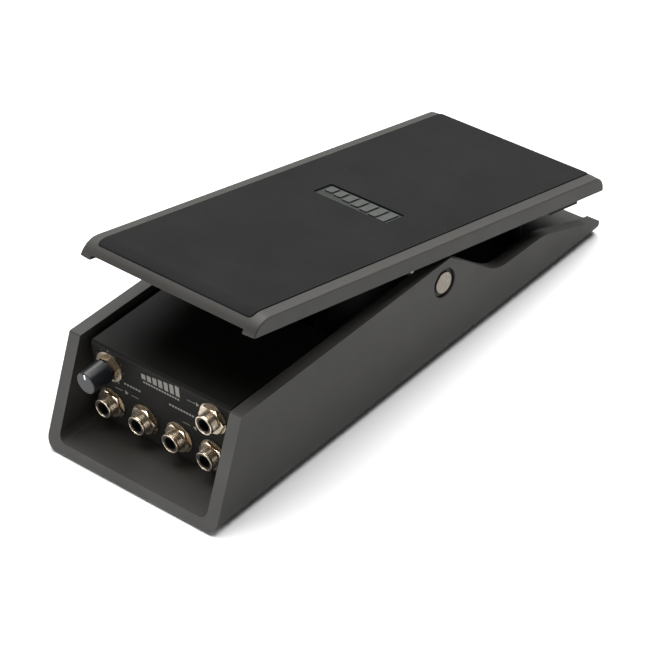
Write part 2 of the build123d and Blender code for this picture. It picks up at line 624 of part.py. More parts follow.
def treadle_outline(raised):
    """Side view of the treadle's top, with its rounded ends, moved outwards by `raised`."""
    top = TREADLE_TOP + raised
    toe_centre_w = TREADLE_TOP - TOE_RADIUS
    heel_centre_w = TREADLE_TOP - HEEL_RADIUS
    toe_end = TOE_CENTRE - TOE_RADIUS - raised
    heel_end = HEEL_CENTRE + HEEL_RADIUS + raised
    with BuildLine() as outline:
        Line((TOE_CENTRE, top), (HEEL_CENTRE, top))
        CenterArc((HEEL_CENTRE, heel_centre_w), HEEL_RADIUS + raised, 0, 90)
        CenterArc((TOE_CENTRE, toe_centre_w), TOE_RADIUS + raised, 90, 90)
        Polyline((toe_end, toe_centre_w), (heel_end, toe_centre_w), (heel_end, heel_centre_w))
    return outline


def mat_layer(half_width, length_margin, corner, bottom, top):
    """Layer that follows the treadle's top over its toe bend, between two offsets of it."""
    middle = (MAT_TOE + MAT_HEEL) / 2
    with BuildPart() as layer:
        with BuildSketch(TREADLE_SIDE):
            add(treadle_outline(top))
            make_face()
        extrude(amount=OUTER_X, both=True)
        with BuildSketch(TREADLE_SIDE):
            add(treadle_outline(bottom))
            make_face()
        extrude(amount=OUTER_X, both=True, mode=Mode.SUBTRACT)
        with BuildSketch(TREADLE):
            with Locations((0, middle)):
                RectangleRounded(2 * half_width, MAT_HEEL - MAT_TOE + 2 * length_margin, corner)
        extrude(amount=TREADLE_TOP + 10, mode=Mode.INTERSECT)
        with BuildSketch(TREADLE.offset(SKIRT_BOTTOM - 4)):
            with Locations((0, middle)):
                Rectangle(200, 400)
        extrude(amount=4, mode=Mode.SUBTRACT)
    return layer


mat_recess = mat_layer(MAT_HALF + MAT_GAP, MAT_GAP, MAT_CORNER + MAT_GAP, -MAT_INLAY, 3.0)
plain_mat = mat_layer(MAT_HALF, 0, MAT_CORNER, -MAT_INLAY, MAT_PROUD)
with BuildPart() as treadle_mat:
    add(plain_mat)
    with BuildSketch(TREADLE):
        with Locations((0, BADGE_CENTRE)):
            RectangleRounded(BADGE_WIDTH, BADGE_DEPTH, 0.8)
    extrude(amount=TREADLE_TOP + 10, mode=Mode.SUBTRACT)
save(treadle_mat, "treadle_mat")

# Inverted tray with flared skirts.  The shoulder beside the mat runs round the toe bend.
FRAME_SCREWS = [(x, u) for x in (-30.0, 30.0) for u in (-95.0, 0.0, 95.0)]
with BuildPart() as treadle_casting:
    with BuildSketch(TREADLE_SIDE):
        add(treadle_outline(0))
        make_face()
        with Locations(((TREADLE_TOE + TREADLE_HEEL) / 2, SKIRT_BOTTOM - 10)):
            Rectangle(400, 20, mode=Mode.SUBTRACT)
    extrude(amount=OUTER_X, both=True)
    with BuildSketch(TREADLE_END):
        flare = (OUTER_X - FOLD_X) / (TREADLE_TOP - FOLD_DROP - SKIRT_BOTTOM)
        top_x = FOLD_X - flare * FOLD_DROP
        with BuildLine():
            Polyline(
                (-OUTER_X, SKIRT_BOTTOM),
                (OUTER_X, SKIRT_BOTTOM),
                (top_x, TREADLE_TOP),
                (-top_x, TREADLE_TOP),
                close=True,
            )
        make_face()
    extrude(amount=200, both=True, mode=Mode.INTERSECT)
    for end in (0, -1):
        skirt_face = treadle_casting.faces().sort_by(Axis.X)[end]
        shoulder_edges = skirt_face.edges().filter_by(lambda e: abs(e.center().X) < OUTER_X - 0.1)
        chamfer(shoulder_edges, length=FOLD_DROP, length2=SHOULDER_WIDTH, reference=skirt_face)
    skirt_folds = treadle_casting.edges().filter_by(
        lambda e: abs(abs(e.center().X) - FOLD_X) < 0.25 and e.length > 10
    )
    fillet(skirt_folds, 0.8)
    # Hollow underside
    with BuildSketch(TREADLE.offset(SKIRT_BOTTOM)):
        with Locations((0, (TREADLE_TOE + TREADLE_HEEL) / 2)):
            Rectangle(2 * INNER_X, TREADLE_HEEL - TREADLE_TOE - 2 * (END_WALL + 2))
    extrude(amount=PLATE_UNDERSIDE - SKIRT_BOTTOM, mode=Mode.SUBTRACT)
    # Lips of the toe and heel ends, a step higher than the skirts
    with BuildSketch(TREADLE.offset(SKIRT_BOTTOM)):
        with Locations((0, (TREADLE_TOE + TREADLE_HEEL) / 2)):
            Rectangle(2 * INNER_X, TREADLE_HEEL - TREADLE_TOE + 2)
    extrude(amount=LIP_BOTTOM - SKIRT_BOTTOM, mode=Mode.SUBTRACT)
    add(mat_recess, mode=Mode.SUBTRACT)
    # Blind holes for the screws of the frame under the treadle
    with BuildSketch(TREADLE.offset(PLATE_UNDERSIDE)):
        with Locations(*FRAME_SCREWS):
            Circle(M3_RADIUS + SLIP)
    extrude(amount=3.2, mode=Mode.SUBTRACT)
save(treadle_casting, "treadle_casting")

with BuildPart() as badge_plate:
    with BuildSketch(TREADLE.offset(TREADLE_TOP - MAT_INLAY)):
        with Locations((0, BADGE_CENTRE)):
            RectangleRounded(BADGE_WIDTH - 0.4, BADGE_DEPTH - 0.4, 0.7)
    extrude(amount=MAT_INLAY - 0.3)
save(badge_plate, "badge_plate")

# Plain ornament on the badge: a row of bars that grow like a rising level
BAR_COUNT = 7
BAR_PITCH = 6.2
BAR_WIDTH = 4.6
with BuildPart() as badge_bars:
    with BuildSketch(TREADLE.offset(TREADLE_TOP - 0.3)):
        for i in range(BAR_COUNT):
            bar_height = 6.0 + 0.9 * i
            bar_x = (i - (BAR_COUNT - 1) / 2) * BAR_PITCH
            bar_u = BADGE_CENTRE + (BADGE_DEPTH - 3.2) / 2 - bar_height / 2
            with Locations((bar_x, bar_u)):
                RectangleRounded(BAR_WIDTH, bar_height, 0.6)
    extrude(amount=0.6)
save(badge_bars, "badge_bars")

# Folded steel frame under the treadle: a web and two side flanges that carry the axle
FLANGE_BOTTOM = 8.0
HEEL_RIB_BOTTOM = 6.4           # the flanges are a little deeper at the heel end
HEEL_RIB_START = 89.7
FLANGE_TOE = -112.0
FLANGE_HEEL = 114.3
LOBE_RADIUS = 9.5
SECTOR_SCREWS = [(GEAR_X - 9.0, -42.0), (GEAR_X - 9.0, -26.0)]
TOE_STOP_PLACES = [(-16.0, -100.0), (16.0, -100.0)]
with BuildPart() as treadle_frame:
    with BuildSketch(TREADLE.offset(WEB_UNDERSIDE)):
        with Locations((0, (FLANGE_TOE + FLANGE_HEEL) / 2)):
            Rectangle(2 * FLANGE_OUTER_X, FLANGE_HEEL - FLANGE_TOE)
            with GridLocations(0, 60, 1, 3):
                SlotOverall(44, 20, mode=Mode.SUBTRACT)
        with Locations((0, BADGE_CENTRE - 31)):
            Rectangle(60, 34)
    extrude(amount=FRAME_SHEET)
    for side in (-1, 1):
        with BuildSketch(TREADLE_SIDE.offset(side * FLANGE_OUTER_X)):
            with BuildLine():
                Polyline(
                    (FLANGE_TOE, PLATE_UNDERSIDE),
                    (FLANGE_TOE, FLANGE_BOTTOM + 5),
                    (FLANGE_TOE + 5, FLANGE_BOTTOM),
                    (-14, FLANGE_BOTTOM),
                    (-8, -5.2),
                    (8, -5.2),
                    (14, FLANGE_BOTTOM),
                    (HEEL_RIB_START, FLANGE_BOTTOM),
                    (HEEL_RIB_START + 2, HEEL_RIB_BOTTOM),
                    (FLANGE_HEEL, HEEL_RIB_BOTTOM),
                    (FLANGE_HEEL, PLATE_UNDERSIDE),
                    close=True,
                )
            make_face()
            Circle(LOBE_RADIUS)
        extrude(amount=-side * FRAME_SHEET)
    with BuildSketch(Plane.YZ):
        with Locations(PIVOT_IN_YZ):
            Circle(AXLE_RADIUS)
    extrude(amount=OUTER_X, both=True, mode=Mode.SUBTRACT)
    with BuildSketch(TREADLE.offset(WEB_UNDERSIDE)):
        with Locations(*FRAME_SCREWS, *SECTOR_SCREWS):
            Circle(M3_RADIUS + SLIP)
    extrude(amount=FRAME_SHEET, mode=Mode.SUBTRACT)
save(treadle_frame, "treadle_frame")

with BuildPart() as frame_screws:
    with BuildSketch(TREADLE.offset(WEB_UNDERSIDE)):
        with Locations(*FRAME_SCREWS):
            Circle(M3_HEAD_RADIUS)
    extrude(amount=-1.8)
    with BuildSketch(TREADLE.offset(WEB_UNDERSIDE)):
        with Locations(*FRAME_SCREWS):
            Circle(M3_RADIUS)
    extrude(amount=FRAME_SHEET + 3.0)
save(frame_screws, "frame_screws")

# Rubber stops under the toe, which meet the hood of the jack box at the toe-down stop
TRAVEL = 14.0
TOE_STOP_RADIUS = 6.0
TOE_STOP_REST = WEB_UNDERSIDE + PIVOT_Z - BOX_TOP
TOE_STOP_LEAN = (TILT - TRAVEL) * pi / 180 * (TOE_STOP_PLACES[0][1] + TOE_STOP_RADIUS)
TOE_STOP_HEIGHT = TOE_STOP_REST - TOE_STOP_LEAN - STOP_GAP
with BuildPart() as toe_stops:
    with BuildSketch(TREADLE.offset(WEB_UNDERSIDE)):
        with Locations(*TOE_STOP_PLACES):
            Circle(TOE_STOP_RADIUS)
    extrude(amount=-TOE_STOP_HEIGHT)
    fillet(toe_stops.edges().sort_by(Axis((0, PIVOT_Y, PIVOT_Z), (0, SLOPE_SIN, SLOPE_COS)))[:2], 1.0)
save(toe_stops, "toe_stops")


# ---------------------------------------------------------------- gear drive
PRESSURE_ANGLE = radians(20)
SECTOR_PITCH_RADIUS = GEAR_MODULE * SECTOR_TEETH / 2
SECTOR_INNER_RADIUS = 38.0
SECTOR_FIRST = -7               # tooth numbers, counted from the tooth that meshes at rest
SECTOR_LAST = 2


def involute(angle):
    return tan(angle) - angle


def tooth_half_angle(teeth, radius):
    """Half the angle that one tooth fills at a radius, seen from the gear's centre."""
    pitch_radius = GEAR_MODULE * teeth / 2
    base_radius = pitch_radius * cos(PRESSURE_ANGLE)
    half_at_pitch = pi / (2 * teeth) - GEAR_BACKLASH / (4 * pitch_radius)
    flank = 0.0 if radius <= base_radius else involute(acos(base_radius / radius))
    return half_at_pitch + involute(PRESSURE_ANGLE) - flank


def tooth_points(teeth, middle_angle, reach_out, reach_in):
    """Outline of one tooth from its first root corner to its last, about (0, 0)."""
    pitch_radius = GEAR_MODULE * teeth / 2
    root = pitch_radius - reach_in
    tip = pitch_radius + reach_out
    radii = [root + (tip - root) * step / 5 for step in range(6)]
    rising = [(r, middle_angle - tooth_half_angle(teeth, r)) for r in radii]
    falling = [(r, middle_angle + tooth_half_angle(teeth, r)) for r in reversed(radii)]
    return [(r * cos(a), r * sin(a)) for r, a in rising + falling]


ADDENDUM = 0.8 * GEAR_MODULE
DEDENDUM = 1.1 * GEAR_MODULE
MESH_LOCAL = pi + radians(TILT + MESH_ANGLE)  # direction of the pinion, in the treadle's side plane
SECTOR_STEP = 2 * pi / SECTOR_TEETH
sector_teeth = []
for tooth in range(SECTOR_FIRST, SECTOR_LAST + 1):
    sector_teeth += tooth_points(SECTOR_TEETH, MESH_LOCAL + tooth * SECTOR_STEP, ADDENDUM, DEDENDUM)
sector_end = MESH_LOCAL + (SECTOR_LAST + 0.6) * SECTOR_STEP
SECTOR_ROOT = SECTOR_PITCH_RADIUS - DEDENDUM

# Toothed sector: hangs from the frame and turns about the axle with the treadle
with BuildPart() as gear_sector:
    with BuildSketch(TREADLE_SIDE.offset(GEAR_X - GEAR_THICKNESS / 2)):
        with BuildLine():
            Polyline(
                *sector_teeth,
                (SECTOR_ROOT * cos(sector_end), SECTOR_ROOT * sin(sector_end)),
                (SECTOR_INNER_RADIUS * cos(sector_end), SECTOR_INNER_RADIUS * sin(sector_end)),
                (-SECTOR_INNER_RADIUS + 2, -4),
                (-24, 6),
                (-20, WEB_UNDERSIDE),
                (-SECTOR_ROOT, WEB_UNDERSIDE),
                close=True,
            )
        make_face()
    extrude(amount=GEAR_THICKNESS)
    with BuildSketch(TREADLE.offset(WEB_UNDERSIDE)):
        with Locations((GEAR_X - 7, (-SECTOR_ROOT - 20) / 2)):
            Rectangle(14, SECTOR_ROOT - 20)
    extrude(amount=-2.5)
    with BuildSketch(TREADLE.offset(WEB_UNDERSIDE)):
        with Locations(*SECTOR_SCREWS):
            Circle(M3_RADIUS + SLIP)
    extrude(amount=-3, mode=Mode.SUBTRACT)
save(gear_sector, "gear_sector")

with BuildPart() as sector_screws:
    with BuildSketch(TREADLE.offset(WEB_UNDERSIDE - 2.5)):
        with Locations(*SECTOR_SCREWS):
            Circle(M3_HEAD_RADIUS)
    extrude(amount=-1.8)
    with BuildSketch(TREADLE.offset(WEB_UNDERSIDE - 2.5)):
        with Locations(*SECTOR_SCREWS):
            Circle(M3_RADIUS)
    extrude(amount=2.5 + FRAME_SHEET)
save(sector_screws, "sector_screws")

# Pinion on the potentiometer shaft, with a gap between teeth facing the sector's middle tooth
PINION_CENTRE = (PINION_Y, PINION_Z)
PINION_SIDE = Plane(origin=(GEAR_X, *PINION_CENTRE), x_dir=(0, 1, 0), z_dir=(1, 0, 0))
PINION_STEP = 2 * pi / PINION_TEETH
MESH_WORLD = radians(MESH_ANGLE)  # from the pinion towards the axle, in the YZ plane
pinion_teeth = []
for tooth in range(PINION_TEETH):
    pinion_teeth += tooth_points(PINION_TEETH, MESH_WORLD + (tooth + 0.5) * PINION_STEP, ADDENDUM, DEDENDUM)
with BuildPart() as pinion_gear:
    with BuildSketch(PINION_SIDE):
        with BuildLine():
            Polyline(*pinion_teeth, close=True)
        make_face()
        Circle(SHAFT_RADIUS, mode=Mode.SUBTRACT)
    extrude(amount=GEAR_THICKNESS / 2, both=True)
save(pinion_gear, "pinion_gear")

BRACKET_X = GEAR_X + 6.5        # toe-side face of the upright plate, towards the gears
BRACKET_SHEET = 1.5
BRACKET_HALF = 13.0
POT_RADIUS = 12.0
POT_DEPTH = 10.0
POT_FACE_X = BRACKET_X + BRACKET_SHEET
VOLUME_BUSHING_RADIUS = 4.0
VOLUME_BUSHING_REACH = 3.0
TERMINAL_TOP = PINION_Z - POT_RADIUS - 2
with BuildPart() as pot_bracket:
    with BuildSketch(Plane.YZ.offset(BRACKET_X)):
        with Locations((PINION_Y, (FLOOR_TOP + PINION_Z) / 2)):
            Rectangle(2 * BRACKET_HALF, PINION_Z - FLOOR_TOP)
        with Locations(PINION_CENTRE):
            Circle(BRACKET_HALF)
            Circle(VOLUME_BUSHING_RADIUS + SLIP, mode=Mode.SUBTRACT)
    extrude(amount=BRACKET_SHEET)
    with BuildSketch(Plane.XY.offset(FLOOR_TOP)):
        with Locations((BRACKET_X + 9, PINION_Y)):
            Rectangle(18, 2 * BRACKET_HALF)
        with Locations((BRACKET_SCREW_X, PINION_Y)):
            with GridLocations(0, BRACKET_SCREW_SPACING, 1, 2):
                Circle(M3_RADIUS + SLIP, mode=Mode.SUBTRACT)
    extrude(amount=BRACKET_SHEET)
save(pot_bracket, "pot_bracket")

with BuildPart() as bracket_screws:
    with BuildSketch(Plane.XY.offset(FLOOR_TOP + BRACKET_SHEET)):
        with Locations((BRACKET_SCREW_X, PINION_Y)):
            with GridLocations(0, BRACKET_SCREW_SPACING, 1, 2):
                Circle(M3_HEAD_RADIUS)
    extrude(amount=1.8)
    with BuildSketch(Plane.XY.offset(FLOOR_TOP + BRACKET_SHEET)):
        with Locations((BRACKET_SCREW_X, PINION_Y)):
            with GridLocations(0, BRACKET_SCREW_SPACING, 1, 2):
                Circle(M3_RADIUS)
    extrude(amount=-BRACKET_SHEET - BRACKET_SCREW_REACH)
save(bracket_screws, "bracket_screws")

with BuildPart() as volume_pot:
    with BuildSketch(Plane.YZ.offset(POT_FACE_X)):
        with Locations(PINION_CENTRE):
            Circle(POT_RADIUS)
    extrude(amount=POT_DEPTH)
    fillet(volume_pot.edges().group_by(Axis.X)[-1], 1.0)
    with BuildSketch(Plane.XY.offset(TERMINAL_TOP)):
        with Locations((POT_FACE_X + 3, PINION_Y)):
            Rectangle(3, 15)
    extrude(amount=6)
    with BuildSketch(Plane.YZ.offset(POT_FACE_X)):
        with Locations(PINION_CENTRE):
            Circle(VOLUME_BUSHING_RADIUS)
    extrude(amount=-BRACKET_SHEET - VOLUME_BUSHING_REACH)
    with BuildSketch(Plane.YZ.offset(POT_FACE_X + 6)):
        with Locations(PINION_CENTRE):
            Circle(SHAFT_RADIUS + FIT)
    extrude(amount=-20, mode=Mode.SUBTRACT)
save(volume_pot, "volume_pot")

with BuildPart() as volume_pot_nut:
    with BuildSketch(Plane.YZ.offset(BRACKET_X)):
        with Locations(PINION_CENTRE):
            RegularPolygon(6.0, 6, major_radius=False)
            Circle(VOLUME_BUSHING_RADIUS + 0.05, mode=Mode.SUBTRACT)
    extrude(amount=-2.2)
save(volume_pot_nut, "volume_pot_nut")

with BuildPart() as volume_pot_shaft:
    with BuildSketch(Plane.YZ.offset(GEAR_X - GEAR_THICKNESS / 2 - 1)):
        with Locations(PINION_CENTRE):
            Circle(SHAFT_RADIUS)
    extrude(amount=POT_FACE_X + 5.5 - (GEAR_X - GEAR_THICKNESS / 2 - 1))
save(volume_pot_shaft, "volume_pot_shaft")

with BuildPart() as pot_terminals:
    with BuildSketch(Plane.XY.offset(TERMINAL_TOP)):
        with Locations((POT_FACE_X + 3, PINION_Y)):
            with GridLocations(0, 5, 1, 3):
                Rectangle(0.8, 2.2)
    extrude(amount=-5)
save(pot_terminals, "pot_terminals")
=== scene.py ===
"""Looks of the volume pedal: materials, threads, printed panel marks, light and camera.

Lengths are metres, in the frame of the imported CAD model: +Z up, toe end towards -Y.
"""
import math

import bmesh
import bpy
from mathutils import Matrix, Vector

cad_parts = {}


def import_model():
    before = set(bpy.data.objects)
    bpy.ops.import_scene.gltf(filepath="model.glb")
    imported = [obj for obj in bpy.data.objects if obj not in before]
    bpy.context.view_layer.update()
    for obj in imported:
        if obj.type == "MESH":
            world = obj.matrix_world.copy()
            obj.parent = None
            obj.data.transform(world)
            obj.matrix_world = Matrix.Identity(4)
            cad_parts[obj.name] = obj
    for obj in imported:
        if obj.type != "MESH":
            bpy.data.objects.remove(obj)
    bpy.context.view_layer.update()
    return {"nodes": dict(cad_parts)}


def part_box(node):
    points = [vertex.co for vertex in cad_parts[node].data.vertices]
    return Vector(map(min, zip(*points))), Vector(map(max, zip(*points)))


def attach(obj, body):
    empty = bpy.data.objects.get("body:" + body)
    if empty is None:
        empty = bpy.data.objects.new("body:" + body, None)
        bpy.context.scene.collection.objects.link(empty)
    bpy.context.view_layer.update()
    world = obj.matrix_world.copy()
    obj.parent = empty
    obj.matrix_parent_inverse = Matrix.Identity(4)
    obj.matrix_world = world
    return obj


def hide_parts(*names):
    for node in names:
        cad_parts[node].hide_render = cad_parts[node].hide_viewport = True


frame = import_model()
nodes = frame["nodes"]
MM = 0.001


# ---------------------------------------------------------------- shader helpers
NOISE_LOW, NOISE_HIGH = 0.3, 0.7  # nearly all values of a noise texture lie between these


class Shader:
    """A material's node tree with a Principled BSDF, built up a few nodes at a time."""

    def __init__(self, name):
        self.material = bpy.data.materials.new(name)
        self.material.use_nodes = True
        self.tree = self.material.node_tree
        self.bsdf = self.tree.nodes["Principled BSDF"]
        self.where = self.add("ShaderNodeTexCoord").outputs["Object"]

    def add(self, kind, **values):
        """New node; each value goes to the property or else the input socket of its name."""
        node = self.tree.nodes.new(kind)
        for key, value in values.items():
            if hasattr(node, key):
                setattr(node, key, value)
            else:
                node.inputs[key.replace("_", " ")].default_value = value
        return node

    def link(self, source, target):
        self.tree.links.new(source, target)

    def set(self, socket, value):
        self.bsdf.inputs[socket].default_value = value

    def noise(self, size, detail=2.0, stretch=None):
        """Noise whose features are about `size` metres across."""
        node = self.add("ShaderNodeTexNoise", Scale=1.0 / size, Detail=detail, Roughness=0.5)
        self.link(self.stretched(stretch), node.inputs["Vector"])
        return node.outputs["Fac"]

    def stretched(self, stretch):
        """Object coordinates, scaled along each axis if `stretch` is given."""
        if stretch is None:
            return self.where
        mapping = self.add("ShaderNodeMapping")
        mapping.inputs["Scale"].default_value = stretch
        self.link(self.where, mapping.inputs["Vector"])
        return mapping.outputs["Vector"]

    def cells(self, size):
        """Rounded cells, about `size` metres across."""
        node = self.add("ShaderNodeTexVoronoi", feature="SMOOTH_F1", Scale=1.0 / size, Smoothness=0.4)
        self.link(self.where, node.inputs["Vector"])
        return node.outputs["Distance"]

    def turning_marks(self, name, pitch):
        """Rings about the X axis through the middle of a turned CAD node."""
        corners = [Vector(corner) for corner in nodes[name].bound_box]
        middle = sum(corners, Vector()) / len(corners)
        mapping = self.add("ShaderNodeMapping")
        mapping.inputs["Location"].default_value = -middle
        self.link(self.where, mapping.inputs["Vector"])
        scale = math.pi / 10 / pitch  # a wave texture has 10 / pi rings to the metre at scale 1
        wave = self.add("ShaderNodeTexWave", wave_type="RINGS", rings_direction="X", Scale=scale)
        self.link(mapping.outputs["Vector"], wave.inputs["Vector"])
        return wave.outputs["Fac"]

    def spread(self, source, low, high, lowest=NOISE_LOW, highest=NOISE_HIGH):
        """The source's values from lowest to highest, mapped to low to high."""
        node = self.add("ShaderNodeMapRange")
        limits = {"From Min": lowest, "From Max": highest, "To Min": low, "To Max": high}
        for socket, value in limits.items():
            node.inputs[socket].default_value = value
        self.link(source, node.inputs["Value"])
        return node.outputs["Result"]

    def blend_colors(self, source, first, second):
        """Blend from the first to the second colour as the noise rises."""
        ramp = self.add("ShaderNodeValToRGB")
        ramp.color_ramp.elements[0].position = NOISE_LOW
        ramp.color_ramp.elements[1].position = NOISE_HIGH
        ramp.color_ramp.elements[0].color = (*first, 1)
        ramp.color_ramp.elements[1].color = (*second, 1)
        self.link(source, ramp.inputs["Fac"])
        return ramp.outputs["Color"]

    def color(self, source):
        self.link(source, self.bsdf.inputs["Base Color"])

    def roughness(self, source):
        self.link(source, self.bsdf.inputs["Roughness"])

    def bump(self, *layers):
        """Stack bump layers, each (height source, height in metres, strength)."""
        normal = None
        for height, distance, strength in layers:
            node = self.add("ShaderNodeBump", Distance=distance, Strength=strength)
            self.link(height, node.inputs["Height"])
            if normal is not None:
                self.link(normal, node.inputs["Normal"])
            normal = node.outputs["Normal"]
        self.link(normal, self.bsdf.inputs["Normal"])


def shade(value):
    """Linear value of an sRGB level between 0 and 255."""
    level = value / 255
    return level / 12.92 if level <= 0.04045 else ((level + 0.055) / 1.055) ** 2.4


def tint(red, green, blue):
    """Linear colour of three sRGB levels."""
    return tuple(shade(level) for level in (red, green, blue))


# ---------------------------------------------------------------- materials
def cast_paint():
    """Fine-grained powder coat over a die casting: warm dark grey, satin."""
    s = Shader("cast_paint")
    speckle = s.noise(0.35 * MM, detail=3)
    cloud = s.noise(22 * MM, detail=2)
    grain = s.add("ShaderNodeMix", data_type="FLOAT")
    grain.inputs["Factor"].default_value = 0.25
    s.link(speckle, grain.inputs["A"])
    s.link(cloud, grain.inputs["B"])
    s.color(s.blend_colors(grain.outputs["Result"], tint(45, 44, 41), tint(57, 56, 53)))
    s.roughness(s.spread(cloud, 0.5, 0.6))
    s.set("Specular IOR Level", 0.3)
    s.bump((s.noise(0.9 * MM, detail=2), 0.05 * MM, 0.5), (speckle, 0.03 * MM, 0.6))
    return s.material


def mat_rubber():
    """Pebbled black rubber of the tread."""
    s = Shader("mat_rubber")
    pebble = s.cells(0.55 * MM)
    cloud = s.noise(30 * MM, detail=3)
    s.color(s.blend_colors(cloud, tint(17, 17, 17), tint(23, 23, 23)))
    s.roughness(s.spread(pebble, 0.8, 0.9, 0.1, 0.5))
    s.set("Specular IOR Level", 0.2)
    s.bump((pebble, 0.06 * MM, 0.55), (s.noise(0.2 * MM), 0.01 * MM, 0.4))
    return s.material


def black_rubber():
    """Smooth black rubber of the feet and stops."""
    s = Shader("black_rubber")
    cloud = s.noise(4 * MM, detail=4)
    s.color(s.blend_colors(cloud, tint(26, 26, 26), tint(36, 35, 34)))
    s.roughness(s.spread(cloud, 0.7, 0.85))
    s.bump((s.noise(0.3 * MM), 0.02 * MM, 0.5))
    return s.material


def black_sheet():
    """Satin black paint on folded steel sheet."""
    s = Shader("black_sheet")
    cloud = s.noise(18 * MM, detail=3)
    s.color(s.blend_colors(cloud, tint(15, 15, 13), tint(20, 19, 17)))
    s.roughness(s.spread(s.noise(0.6 * MM), 0.52, 0.65))
    s.set("Specular IOR Level", 0.12)
    s.bump((s.noise(0.5 * MM, detail=3), 0.02 * MM, 0.5))
    return s.material


def nickel():
    """Bright nickel plate of the jacks."""
    s = Shader("nickel")
    s.set("Metallic", 1.0)
    cloud = s.noise(7 * MM, detail=2)
    s.color(s.blend_colors(cloud, tint(202, 187, 166), tint(214, 200, 180)))
    s.roughness(s.spread(s.noise(6 * MM, detail=2), 0.25, 0.3))
    s.bump((s.noise(4 * MM, detail=1), 0.001 * MM, 0.2))
    return s.material


def zinc():
    """Dull zinc-plated steel."""
    s = Shader("zinc_steel")
    s.set("Metallic", 1.0)
    cloud = s.noise(1.2 * MM, detail=4)
    s.color(s.blend_colors(cloud, tint(150, 148, 142), tint(178, 175, 168)))
    s.roughness(s.spread(cloud, 0.3, 0.45))
    s.bump((s.noise(0.15 * MM), 0.005 * MM, 0.5))
    return s.material


def cap_steel():
    """Satin machined face of the axle caps."""
    s = Shader("cap_steel")
    s.set("Metallic", 1.0)
    cloud = s.noise(2 * MM, detail=3)
    s.color(s.blend_colors(cloud, tint(120, 114, 106), tint(136, 130, 122)))
    s.roughness(s.spread(s.noise(0.4 * MM), 0.38, 0.5))
    s.bump(
        (s.turning_marks("axle_caps", 0.45 * MM), 0.012 * MM, 0.5),
        (s.noise(0.8 * MM, detail=3), 0.01 * MM, 0.4),
    )
    return s.material


def moulded(name, first, second, low, high, grain=0.4):
    """Moulded plastic with a faint surface grain."""
    s = Shader(name)
    s.color(s.blend_colors(s.noise(6 * MM, detail=3), first, second))
    s.roughness(s.spread(s.noise(0.8 * MM, detail=2), low, high))
    s.bump((s.noise(grain * MM, detail=2), 0.008 * MM, 0.5))
    return s.material


def knob_plastic():
    """Semi-gloss bluish black plastic."""
    s = Shader("knob_plastic")
    s.color(s.blend_colors(s.noise(5 * MM, detail=2), tint(17, 19, 23), tint(23, 25, 29)))
    s.roughness(s.spread(s.noise(1.2 * MM, detail=2), 0.34, 0.42))
    s.set("Specular IOR Level", 0.4)
    s.bump((s.noise(0.5 * MM), 0.004 * MM, 0.5))
    return s.material


def badge_metal(name, first, second, low, high):
    """Cast zinc with a satin lacquer."""
    s = Shader(name)
    s.set("Metallic", 0.75)
    s.color(s.blend_colors(s.noise(0.8 * MM, detail=3), first, second))
    s.roughness(s.spread(s.noise(0.4 * MM), low, high))
    s.bump((s.noise(0.3 * MM, stretch=(1, 0.3, 1)), 0.008 * MM, 0.5))
    return s.material


MATERIALS = {
    "cast_paint": cast_paint(),
    "mat_rubber": mat_rubber(),
    "black_rubber": black_rubber(),
    "black_sheet": black_sheet(),
    "nickel": nickel(),
    "zinc": zinc(),
    "cap_steel": cap_steel(),
    "black_plastic": moulded("black_plastic", tint(24, 23, 22), tint(32, 31, 30), 0.45, 0.6),
    "bush_plastic": moulded("bush_plastic", tint(14, 13, 12), tint(20, 19, 18), 0.6, 0.75),
    "acetal": moulded("acetal", tint(205, 202, 192), tint(218, 215, 206), 0.35, 0.5),
    "gear_nylon": moulded("gear_nylon", tint(48, 47, 45), tint(60, 58, 55), 0.45, 0.6),
    "board": moulded("board", tint(22, 62, 38), tint(30, 74, 46), 0.3, 0.45, grain=0.25),
    "component_sleeve": moulded("component_sleeve", tint(24, 26, 32), tint(34, 36, 44), 0.3, 0.45),
    "knob_plastic": knob_plastic(),
    "white_ink": moulded("white_ink", tint(222, 221, 216), tint(235, 234, 229), 0.45, 0.6),
    "panel_ink": moulded("panel_ink", tint(106, 104, 99), tint(118, 116, 110), 0.5, 0.65),
    "badge_plate": badge_metal("badge_plate_metal", tint(49, 51, 49), tint(60, 62, 60), 0.45, 0.58),
    "badge_bars": badge_metal("badge_bar_metal", tint(70, 73, 71), tint(83, 86, 83), 0.4, 0.55),
}

LOOKS = {
    "cast_paint": ["base_casting", "treadle_casting"],
    "mat_rubber": ["treadle_mat"],
    "black_rubber": ["rubber_feet", "heel_stops", "toe_stops", "cable_grommet"],
    "black_sheet": ["treadle_frame", "jack_box_hood", "jack_box_tray", "hood_screws"],
    "nickel": [
        "jack_nuts", "jack_washers", "min_pot_nut", "min_pot_washer", "volume_pot_nut", "jack_pins",
    ],
    "black_plastic": [],
    "zinc": [
        "box_nuts", "box_screws", "frame_screws", "sector_screws", "bracket_screws", "heel_stop_screws",
        "pivot_axle", "pot_bracket", "volume_pot", "volume_pot_shaft", "pot_terminals",
        "min_volume_pot", "min_pot_shaft",
    ],
    "cap_steel": ["axle_caps"],
    "bush_plastic": ["left_pivot_bush", "right_pivot_bush"],
    "acetal": ["pinion_gear"],
    "gear_nylon": ["gear_sector"],
    "board": ["circuit_board"],
    "component_sleeve": ["board_components"],
    "knob_plastic": ["min_volume_knob"],
    "white_ink": ["knob_pointer"],
    "badge_plate": ["badge_plate"],
    "badge_bars": ["badge_bars"],
}
JACKS = ["input_left", "input_right", "output_right", "output_left", "expression"]
for jack in JACKS:
    LOOKS["black_plastic"].append(f"{jack}_jack_body")
    LOOKS["nickel"].append(f"{jack}_jack_bushing")

for look, names in LOOKS.items():
    for name in names:
        mesh = nodes[name].data
        mesh.materials.clear()
        mesh.materials.append(MATERIALS[look])


